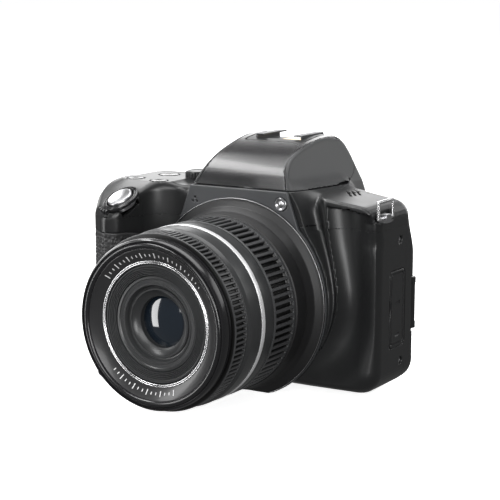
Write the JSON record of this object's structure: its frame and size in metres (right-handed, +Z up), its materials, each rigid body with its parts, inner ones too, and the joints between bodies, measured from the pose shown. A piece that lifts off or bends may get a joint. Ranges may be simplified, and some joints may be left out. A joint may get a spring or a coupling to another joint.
{
  "type": "bridge camera",
  "caption": "Bridge camera with a large zoom lens, a hand grip, a viewfinder hump with a lift-up flash and hot shoe, and a side-hinged screen.",
  "frame": {"origin": "centre of the tripod socket's mouth, on the plane that the camera stands on", "axes": "+Z up, the lens looks along -Y, the hand grip is at -X and the screen hinge at +X"},
  "size_m": [0.1148, 0.1035, 0.0904],
  "materials": {
    "shell_plastic": "satin black moulded plastic with a fine grain",
    "plate_plastic": "matte dark grey moulded plastic",
    "gloss_plastic": "glossy black plastic",
    "rubber": "pebbled black rubber",
    "lens_plastic": "satin black lens barrel",
    "control_plastic": "satin black control",
    "internal_plastic": "plain black moulding",
    "bright_metal": "polished metal",
    "silver_ring": "turned silver ring",
    "sheet_metal": "plain sheet metal",
    "steel": "dark steel",
    "brass": "turned brass",
    "board": "green circuit board",
    "sensor": "image sensor under glass",
    "glass": "coated lens glass",
    "screen_glass": "dark display glass",
    "lamp_glass": "clear lamp lens",
    "battery_case": "battery case"
  },
  "bodies": {
    "body": {"top_cover": "shell_plastic", "front_cover": "shell_plastic", "base_cover": "shell_plastic", "rear_cover": "shell_plastic", "front_plate": "plate_plastic", "af_lamp": "lamp_glass", "grip_rubber": "rubber", "thumb_rubber": "rubber", "chassis": "sheet_metal", "main_board": "board", "image_sensor": "sensor", "battery_box": "internal_plastic", "battery": "battery_case", "memory_card": "battery_case", "tripod_socket": "brass", "strap_lugs": "bright_metal", "lug_ring_right": "bright_metal", "lug_ring_left": "bright_metal", "shoe_island": "gloss_plastic", "shoe_rails": "sheet_metal", "shoe_contacts": "brass", "hinge_pins": "steel", "evf_module": "internal_plastic", "eyepiece_lens": "glass", "eyecup": "rubber", "lens_skirt": "lens_plastic", "lens_tube": "lens_plastic", "mid_barrel": "lens_plastic", "accent_ring": "silver_ring", "front_rim": "lens_plastic", "name_bezel": "lens_plastic", "port_sockets": "internal_plastic", "screws": "steel"},
    "flash_head": {"flash_strip": "gloss_plastic", "flash_cheeks": "plate_plastic", "flash_reflector": "sheet_metal", "flash_window": "lamp_glass", "flash_tube": "lamp_glass"},
    "zoom_ring": {"zoom_ring": "lens_plastic"},
    "focus_ring": {"focus_ring": "lens_plastic"},
    "zoom_carriage": {"zoom_carriage": "lens_plastic", "lens_baffle": "lens_plastic", "front_element": "glass", "rear_group": "glass"},
    "diopter_dial": {"diopter_dial": "control_plastic"},
    "mode_dial": {"mode_dial": "control_plastic"},
    "shutter_button": {"shutter_button": "bright_metal"},
    "zoom_lever": {"zoom_lever": "control_plastic"},
    "power_button": {"power_button": "control_plastic"},
    "drive_button": {"drive_button": "control_plastic"},
    "record_button": {"record_button": "control_plastic"},
    "playback_button": {"playback_button": "control_plastic"},
    "menu_button": {"menu_button": "control_plastic"},
    "d_pad": {"d_pad": "control_plastic"},
    "ok_button": {"ok_button": "control_plastic"},
    "screen": {"lcd_arm": "control_plastic", "lcd_frame": "control_plastic", "lcd_glass": "screen_glass"},
    "port_door": {"port_door": "shell_plastic"},
    "battery_door": {"battery_door": "shell_plastic"}
  },
  "joints": [
    {"name": "zoom_ring_turn", "type": "hinge", "parent": "body", "child": "zoom_ring", "pos_m": [0, -0.05, 0.0338], "axis": [0, -1, 0], "range_deg": [0, 75]},
    {"name": "zoom_carriage_slide", "type": "slide", "parent": "body", "child": "zoom_carriage", "axis": [0, 1, 0], "range_m": [0, 0.01]},
    {"name": "focus_ring_turn", "type": "hinge", "parent": "body", "child": "focus_ring", "pos_m": [0, -0.067, 0.0338], "axis": [0, -1, 0], "continuous": true},
    {"name": "flash_lift", "type": "hinge", "parent": "body", "child": "flash_head", "pos_m": [0, 0.0195, 0.085], "axis": [-1, 0, 0], "range_deg": [0, 55]},
    {"name": "diopter_turn", "type": "hinge", "parent": "body", "child": "diopter_dial", "pos_m": [-0.0265, 0.0155, 0.068], "axis": [1, 0, 0], "range_deg": [-150, 150]},
    {"name": "mode_dial_turn", "type": "hinge", "parent": "body", "child": "mode_dial", "pos_m": [-0.0295, -0.002, 0.0744], "axis": [0, 0, 1], "continuous": true},
    {"name": "shutter_press", "type": "slide", "parent": "body", "child": "shutter_button", "axis": [0.15, 0.5, -0.853], "range_m": [0, 0.0012], "stiffness_N_per_m": 300},
    {"name": "zoom_lever_turn", "type": "hinge", "parent": "body", "child": "zoom_lever", "pos_m": [-0.042, -0.034, 0.0674], "axis": [-0.15, -0.5, 0.853], "range_deg": [-22, 22], "stiffness_Nm_per_rad": 0.01},
    {"name": "power_press", "type": "slide", "parent": "body", "child": "power_button", "axis": [0, 0, -1], "range_m": [0, 0.0008], "stiffness_N_per_m": 300},
    {"name": "drive_press", "type": "slide", "parent": "body", "child": "drive_button", "axis": [0, 0, -1], "range_m": [0, 0.0008], "stiffness_N_per_m": 300},
    {"name": "record_press", "type": "slide", "parent": "body", "child": "record_button", "axis": [0, 0, -1], "range_m": [0, 0.0008], "stiffness_N_per_m": 300},
    {"name": "playback_press", "type": "slide", "parent": "body", "child": "playback_button", "axis": [0, -1, 0], "range_m": [0, 0.0006], "stiffness_N_per_m": 300},
    {"name": "menu_press", "type": "slide", "parent": "body", "child": "menu_button", "axis": [0, -1, 0], "range_m": [0, 0.0006], "stiffness_N_per_m": 300},
    {"name": "pad_press", "type": "slide", "parent": "body", "child": "d_pad", "axis": [0, -1, 0], "range_m": [0, 0.0006], "stiffness_N_per_m": 300},
    {"name": "ok_press", "type": "slide", "parent": "body", "child": "ok_button", "axis": [0, -1, 0], "range_m": [0, 0.0006], "stiffness_N_per_m": 300},
    {"name": "screen_swing", "type": "hinge", "parent": "body", "child": "screen", "pos_m": [0.0521, 0.01255, 0.0327], "axis": [0, 0, -1], "range_deg": [0, 170]},
    {"name": "port_door_swing", "type": "hinge", "parent": "body", "child": "port_door", "pos_m": [0.0545, -0.0076, 0.0308], "axis": [0, 0, -1], "range_deg": [0, 95]},
    {"name": "battery_door_swing", "type": "hinge", "parent": "body", "child": "battery_door", "pos_m": [-0.048, -0.003, 0.0009], "axis": [1, 0, 0], "range_deg": [0, 90]}
  ],
  "couplings": [
    {"joint": "zoom_carriage_slide", "follows": "zoom_ring_turn", "m_per_rad": 0.0076}
  ]
}
